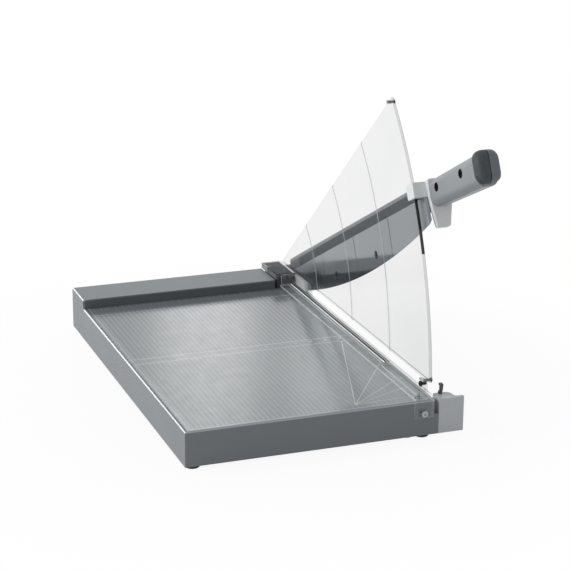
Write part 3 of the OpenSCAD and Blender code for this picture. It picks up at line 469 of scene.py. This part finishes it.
# The bar lies flat, so its edges face sideways, but its flap and its rear tab stand upright
in_flap = bar.y < -0.4
in_tab = (bar.y > 456.5) & (bar.z > 48.2)
standing = in_flap | in_tab
bar_edge = ((abs(bar_turn_z) < 0.5) & (1 - standing)) | ((abs(bar_turn_y) < 0.5) & standing)
# A light border along the cut, a painted reflection of the white surroundings, clearer towards the
# front
painted_reflection_border = bar.x.rise(301.6, 305.4) & between(bar.y, 10, 458) & (bar.z > 44)
reflection_fade = bar.y.rise(60, 180)
# Painted highlights on the rib's edges, and dark lines of painted shade beside them
rib_area = between(bar.y, 124, 456) & (bar.z > 47)
rib_edge_highlights = stroke(bar.x, 292.7, 1.3) | stroke(bar.x, 296.0, 0.7) | stroke(bar.x, 300.2, 0.9)
rib_edge_highlights = rib_edge_highlights & rib_area
painted_shade_lines = (stroke(bar.x, 297.7, 2.5) | stroke(bar.x, 303.3, 1.3)) & rib_area
smears = bar.noise(0.05, 4, (1, 0.3, 1))
bar_tone = bar.coat(bar_edge, ink("#d3dadd"), ink("#f2f5f5"))
bar_tone = bar.coat(painted_reflection_border, bar_tone, ink("#f4f6f6"))
bar_tone = bar.coat(painted_shade_lines, bar_tone, ink("#26292b"))
bar_tone = bar.coat(rib_edge_highlights, bar_tone, ink("#f6f8f8"))
bar_cover = bar_edge * (0.3 - in_flap * 0.12) + painted_reflection_border * (0.31 + reflection_fade * 0.07)
bar.surface({
    "Base Color": bar_tone,
    "Roughness": 0.08 + smears * 0.1 + painted_shade_lines * 0.8,
    "Specular IOR Level": 0.25,
    "Alpha": 0.04 + smears * 0.03 + bar_cover + painted_shade_lines * 0.92 + rib_edge_highlights * 0.5})
dress(bar, ["clamp_bar"])

box_finish = Finish("clear_box")
box_turn_z = box_finish.split(box_finish.place["Normal"])[2]
box_smears = box_finish.noise(0.08, 4)
# Upper ends of the upright walls, the backing under the top, the lit right edge and a dull corner
wall_end = (box_finish.z > 59.5) | ((box_finish.x < 279) & (box_finish.z > 55.6))
box_rim = wall_end & (abs(box_turn_z) < 0.5)
backing = between(box_finish.x, 277.6, 299.8) & between(box_finish.y, 461.8, 514.4)
backing = backing & (box_finish.z > 62.6)
lit_edge = (box_finish.x > 300.2) & (box_finish.z > 63.2)
frosted = (box_finish.x < 279) & (box_finish.y > 495) & (1 - backing)
box_tone = box_finish.coat(box_rim, ink("#5b6063"), ink("#787e81"))
box_tone = box_finish.coat(lit_edge, box_tone, ink("#eceeee"))
box_tone = box_finish.coat(frosted, box_tone, ink("#8d9396"))
box_cover = box_rim * 0.55 + lit_edge * 0.8 + (backing | frosted) * 0.9
box_finish.surface({
    "Base Color": box_finish.coat(backing, box_tone, ink("#43474a")),
    "Roughness": 0.08 + box_smears * 0.1 + (backing | box_rim) * 0.4,
    "Specular IOR Level": 0.1,
    "Alpha": 0.03 + box_smears * 0.03 + box_cover})
dress(box_finish, ["clamp_box", "guard_bracket"])
dress(plated("dull_steel", "#74787b", 0.45, 0.8), ["box_screws", "guide_pins"])


# ---- Clamp springs
# Two small springs of round steel wire, coiled cold, lift the clamp from its seats.
# Each stands around a guide pin. The real spring shortens with the clamp, but this coil keeps one
# fixed length.

# The wire's radius in metres, the curls of a spring, and the steps of a curl and of the wire
wire_r, curls, curl_steps, wire_sides = 0.0004, 7, 28, 10
for name in ("front_spring", "rear_spring"):
    low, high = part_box(name)
    middle, reach = (low + high) / 2, (high.x - low.x) / 2 - wire_r
    mesh, grown = bmesh.new(), []
    for k in range(curls * curl_steps + 1):
        turned = 2 * math.pi * k / curl_steps
        height = low.z + wire_r + (high.z - low.z - 2 * wire_r) * k / (curls * curl_steps)
        ring = []
        for j in range(wire_sides):
            around = 2 * math.pi * j / wire_sides
            out = reach + wire_r * math.cos(around)
            ring.append(mesh.verts.new((
                middle.x + out * math.cos(turned), middle.y + out * math.sin(turned),
                height + wire_r * math.sin(around))))
        if grown:
            for j in range(wire_sides):
                following = (j + 1) % wire_sides
                mesh.faces.new((grown[j], ring[j], ring[following], grown[following]))
        else:
            mesh.faces.new(ring[::-1])
        grown = ring
    mesh.faces.new(grown)
    for face in mesh.faces:
        face.smooth = len(face.verts) == 4
    bmesh.ops.recalc_face_normals(mesh, faces=mesh.faces)
    data = bpy.data.meshes.new(name + "_wire")
    mesh.to_mesh(data)
    mesh.free()
    data.materials.append(zinc.material)
    coil = bpy.data.objects.new(name + "_wire", data)
    bpy.context.scene.collection.objects.link(coil)
    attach(coil, "base")
    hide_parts(name)
    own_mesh(coil)


# ---- Guard
# A sector of clear acrylic, with three engraved arcs and a polished rim, stands on the clamp bar.
# Dark screws fix it to the box and to a small clear angle.
# Clear stops sit at both ends of the rim.

guard = Finish("clear_guard")
# The arm's pivot, as y and z, and the distance from it
pivot = (507, 37.4)
guard_spot = guard.node("ShaderNodeCombineXYZ", {}, {"Y": guard.y, "Z": guard.z})[0]
from_pivot = guard.node("ShaderNodeVectorMath", {"operation": "DISTANCE"}, {
    0: guard_spot, 1: (0, *pivot)})["Value"]
# The arcs, on the face towards the tray only
groove_width, sheet_middle = 2.3, 305
groove = (
    stroke(from_pivot, 382.7, groove_width) | stroke(from_pivot, 260.4, groove_width)
    | stroke(from_pivot, 138.1, groove_width)) & (guard.x < sheet_middle)
# The rim, with a dark strip below the lug that is a painted reflection of the dark arm, the lower
# edge towards the blade, and the rear skirt
rim = from_pivot > 499.6
rim_strip = rim & between(guard.z, 212, 273)
low_edge = between(guard.z, 62.2, 63.7) & (guard.x > 306)
skirt = guard.y.rise(394, 424) & (guard.z < 62.2) & (guard.y > 380)
# The sheet is a little darker and less clear at the front and low down
denser_low_front = guard.z.rise(280, 90) * guard.y.rise(190, 20)
cloud = guard.noise(0.012, 3)
guard_tone = guard.coat(groove, ink("#565c5e"), ink("#93989a"))
guard_tone = guard.coat(rim | low_edge, guard_tone, ink("#2a2d2f"))
# The rim's dark strip is a painted reflection of the arm
guard_tone = guard.coat(rim_strip, guard_tone, ink("#0c0d0e"))
guard_tone = guard.coat(skirt, guard_tone, ink("#dfe2e3"))
guard_cover = groove * 0.66 + rim * 0.22 + low_edge * 0.5 + rim_strip * 0.68 + skirt * 0.42
guard.surface({
    "Base Color": guard_tone,
    "Roughness": 0.06 + cloud * 0.08,
    "Alpha": 0.068 + cloud * 0.03 + guard_cover + denser_low_front * 0.035})
dress(guard, ["guard_shield"])

blackened = plated("blackened_steel", "#1a1b1c", 0.42, 0.5)
dress(blackened, ["guard_screws"])
dress(plated("grey_steel", "#8f9396", 0.35, 0.8), ["rim_stop_screws"])

stops = Finish("clear_stop")
stop_haze = stops.noise(0.4, 3)
stops.surface({
    "Base Color": stops.coat(stop_haze, ink("#6f7577"), ink("#9aa0a2")),
    "Roughness": 0.2 + stop_haze * 0.15,
    "Alpha": 0.2 + stop_haze * 0.15})
dress(stops, ["rim_stops"])


# ---- Arm
# The spine, web, eye and tang are one alloy casting, machined and coated in satin grey.
# A darker band runs along the spine's left face: painted shade where that face is recessed.
# The spine's upper edge is painted lighter, as a highlight.

slope = math.radians(26.7)


def arm_place(finish):
    """Millimetres along the arm from its pivot, and above the pivot's line, as drawn."""
    fields = []
    for way in ((0, -math.cos(slope), math.sin(slope)), (0, math.sin(slope), math.cos(slope))):
        reach = finish.node("ShaderNodeVectorMath", {"operation": "DOT_PRODUCT"}, {
            0: finish.spot, 1: way})["Value"]
        fields.append(reach - (pivot[0] * way[1] + pivot[1] * way[2]))
    return fields


arm = Finish("arm_coat")
arm_clouds, arm_peel = arm.noise(0.02, 4), arm.noise(0.9, 2)
along, above = arm_place(arm)
band_low, band_high = 9, 21.8
# Painted shade along the spine's left face
painted_shade_band = between(above, band_low, band_high) & (arm.x < 312) & (along > 58)
arm_tone = arm.coat(arm_clouds * 0.5 + 0.25, ink("#585d61"), ink("#666b6f"))
arm_tone = arm.coat(painted_shade_band, arm_tone, ink("#44494c"))
# Painted highlight on the spine's upper edge
arm_tone = arm.coat((above > band_high) * 0.8, arm_tone, ink("#8d9296"))
arm.surface({
    "Base Color": arm_tone,
    "Roughness": 0.46 + painted_shade_band * 0.2 + (arm_clouds - 0.5) * 0.12,
    "Specular IOR Level": 0.35,
    "Normal": arm.relief(arm_peel, 0.008)})
dress(arm, ["arm_beam"], 0.5)


# ---- Blade
# A curved blade of tool steel, ground along its length, with a bevel ground to the edge.
# Three countersunk blackened screws hold it to the web.

blade = Finish("blade_steel")
lengthwise, across = arm_place(blade)
streak_place = blade.node("ShaderNodeCombineXYZ", {}, {
    "X": lengthwise * 0.01, "Y": across * 3, "Z": blade.x})[0]
streaks = blade.node("ShaderNodeTexNoise", {}, {"Vector": streak_place, "Scale": 1, "Detail": 4})[0]
film = blade.noise(0.01, 4)
steel_tone = blade.coat(streaks * 0.7, ink("#989da0"), ink("#a7abae"))
steel_tone = blade.coat((film - 0.4) * 0.4, steel_tone, ink("#8d9295"))
# Grease near the pivot and handling beside the hilt make the steel rougher, and a wedge along the
# spine is lighter and rougher
greased = lengthwise.rise(130, 70)
wedge_slope = 0.17
dulled = lengthwise.rise(230, 110) * (across + lengthwise * wedge_slope).rise(7, 12)
steel_tone = blade.coat(dulled * 0.3, steel_tone, ink("#c3c7c9"))
handled = lengthwise.rise(478, 496)
dullness = greased * 0.22 + dulled * 0.18 + handled * 0.4
blade.surface({
    "Base Color": steel_tone,
    "Metallic": 0.9,
    "Roughness": 0.07 + dullness + (streaks - 0.5) * 0.05 + (film - 0.5) * 0.03,
    "Normal": blade.relief(streaks, 0.001)})
dress(blade, ["blade"], 0.12)
dress(blackened, ["blade_screws"])


# ---- Hilt
# An off-white moulding, pushed on the arm's tang, whose plate guards the hand.
# Its hub closes the channel in front of the guard's rim, and its lug runs beside the guard.

dress(moulding("off_white_moulding", "#dbdedf", 0.42, 1.0, 0.004), ["hilt_collar"], 2.2)


# ---- Grip
# Two grey half shells, screwed together through the tang, with a soft end cap pushed on.
# The cap is moulded in two tones, darker on the left, with a seam down its middle.

grip = Finish("grip_plastic_grey")
grip_flow, grip_pits = grip.noise(0.03, 3), grip.noise(1.6, 3)
from_guard, over_tang = arm_place(grip)
grip_tone = grip.coat(grip_flow * 0.6 + 0.2, ink("#858a8e"), ink("#93979b"))
grip_tone = grip.coat((grip_pits - 0.35) * 0.35, grip_tone, ink("#747a7e"))
# The underside is painted lighter, as a highlight, to the right of a fine moulded line
underside = over_tang < 0
low_line = stroke(grip.x, 320.9, 0.8) & underside
grip_tone = grip.coat((grip.x > 321.3) & underside, grip_tone, ink("#a6aaad"))
grip_tone = grip.coat(low_line, grip_tone, ink("#5b6063"))
# Painted shade in the sockets of the two screws
socket_radius = 5.48
socket_high = abs(over_tang - 14.5)
for socket_along in (544, 613):
    aside = abs(from_guard - socket_along)
    socket_shade = aside * aside + socket_high * socket_high < socket_radius ** 2
    grip_tone = grip.coat(socket_shade, grip_tone, ink("#17191a"))
grip.surface({
    "Base Color": grip_tone,
    "Roughness": 0.48 + (grip_pits - 0.5) * 0.15,
    "Specular IOR Level": 0.4,
    "Normal": grip.relief(grip_pits, 0.006)})
dress(grip, ["grip_left", "grip_right"], 0.3)
dress(plated("black_oxide_steel", "#101112", 0.35, 0.5), ["grip_screws"])

cap = Finish("soft_cap_rubber")
cap_skin, cap_dust = cap.noise(2.2, 3), cap.noise(0.15, 3)
cap_seam = 326.6
cap_tone = cap.coat(cap.x < cap_seam, ink("#6d7276"), ink("#363a3d"))
cap_tone = cap.coat(stroke(cap.x, cap_seam, 1), cap_tone, ink("#17191a"))
cap.surface({
    "Base Color": cap.coat(cap_dust * 0.3, cap_tone, ink("#7a7f83")),
    "Roughness": 0.6 + (cap_skin - 0.5) * 0.2,
    "Specular IOR Level": 0.3,
    "Normal": cap.relief(cap_skin, 0.02)})
dress(cap, ["grip_end_cap"], 0.4)


# ---- Floor, light and camera
# The cutter stands on a plain white floor that keeps a faint shadow, in front of a white wall.
# One large soft box lights it from the upper left, with a low even light from all round.

white = (1, 1, 1, 1)
floor_reach = 30
floor_mesh = bpy.data.meshes.new("floor")
floor_mesh.from_pydata([
    (-floor_reach, -floor_reach, 0), (floor_reach, -floor_reach, 0),
    (floor_reach, floor_reach, 0), (-floor_reach, floor_reach, 0)], [], [(0, 1, 2, 3)])
floor = bpy.data.objects.new("floor", floor_mesh)
bpy.context.scene.collection.objects.link(floor)


def ends_in_white(tree):
    """Rays that end in a white ground: seen straight, in a mirror or through a clear piece."""
    rays = tree.node("ShaderNodeLightPath")
    return rays["Is Camera Ray"] | rays["Is Glossy Ray"] | rays["Is Transmission Ray"]


# The floor shows plain white, apart from a share near the cutter that takes its shadow
floor_finish = Finish("white_floor")
matt = floor_finish.node("ShaderNodeBsdfDiffuse", {}, {"Color": ink("#f2f2f2")})[0]
glow = floor_finish.node("ShaderNodeEmission", {}, {"Color": white, "Strength": 1.0})[0]
far = floor_finish.node("ShaderNodeVectorMath", {"operation": "LENGTH"}, {
    0: floor_finish.place["Object"]})["Value"]
white_share = floor_finish.node("ShaderNodeMath", {"operation": "MINIMUM"}, {
    0: far * 0.22 + 0.87, 1: 1.0})[0]
floor_mix = floor_finish.node("ShaderNodeMixShader", {}, {
    0: ends_in_white(floor_finish) * white_share, 1: matt, 2: glow})[0]
floor_finish.node("ShaderNodeOutputMaterial", {}, {"Surface": floor_mix})
floor_mesh.materials.append(floor_finish.material)

studio = bpy.data.worlds.new("studio")
bpy.context.scene.world = studio
sky = Nodes(studio)
soft_light = sky.node("ShaderNodeBackground", {}, {"Color": white, "Strength": 0.5})[0]
white_wall = sky.node("ShaderNodeBackground", {}, {"Color": white, "Strength": 1.0})[0]
sky_mix = sky.node("ShaderNodeMixShader", {}, {
    0: ends_in_white(sky), 1: soft_light, 2: white_wall})[0]
sky.node("ShaderNodeOutputWorld", {}, {"Surface": sky_mix})


def soft_box(name, place, aim, width, height, power, roll=0):
    """A lamp with an even oblong face of width and height in metres, turned towards aim."""
    light = bpy.data.lights.new(name, "AREA")
    light.shape, light.size, light.size_y, light.energy = "RECTANGLE", width, height, power
    lamp = bpy.data.objects.new(name, light)
    lamp.location = place
    lamp.rotation_mode = "QUATERNION"
    facing = (Vector(aim) - Vector(place)).to_track_quat("-Z", "Y")
    lamp.rotation_quaternion = facing @ Quaternion((0, 0, 1), math.radians(roll))
    bpy.context.scene.collection.objects.link(lamp)


soft_box("key_box", (-2.6, 0.5, 1.5), (0, 0, 0.05), 1.6, 1.6, 54)
# Small boxes behind the cutter, whose light is mirrored in its smooth faces and edges
soft_box("back_box", (0.95, 3.2, 1.27), (0, 0.1, 0.05), 0.3, 0.8, 1.5)
soft_box("side_box", (1.33, 3.2, 1.33), (0.1, 0, 0.05), 0.12, 0.5, 0.4)
soft_box("rim_strip", (-1.3, 2.9, 0.85), (-0.17, 0, 0.05), 1.5, 0.35, 8, -45)

# The camera stands where the photograph was taken
camera_data = bpy.data.cameras.new("camera")
camera = bpy.data.objects.new("camera", camera_data)
bpy.context.scene.collection.objects.link(camera)
bpy.context.scene.camera = camera
camera_place = (-0.74565, -2.087763, 0.8534)
ahead = Vector((0.3191, 0.8966, -0.3069)).normalized()
level = ahead.cross(Vector((0, 0, 1))).normalized()
upright = level.cross(ahead)
tilt = math.radians(0.19)
right = math.cos(tilt) * level + math.sin(tilt) * upright
top = -math.sin(tilt) * level + math.cos(tilt) * upright
camera.matrix_world = Matrix((
    (right.x, top.x, -ahead.x, camera_place[0]),
    (right.y, top.y, -ahead.y, camera_place[1]),
    (right.z, top.z, -ahead.z, camera_place[2]),
    (0, 0, 0, 1)))
camera_data.sensor_width, camera_data.lens = 36, 118.12
camera_data.shift_x, camera_data.shift_y = 0.03989, -0.00293
bpy.context.scene.view_settings.view_transform = "Standard"
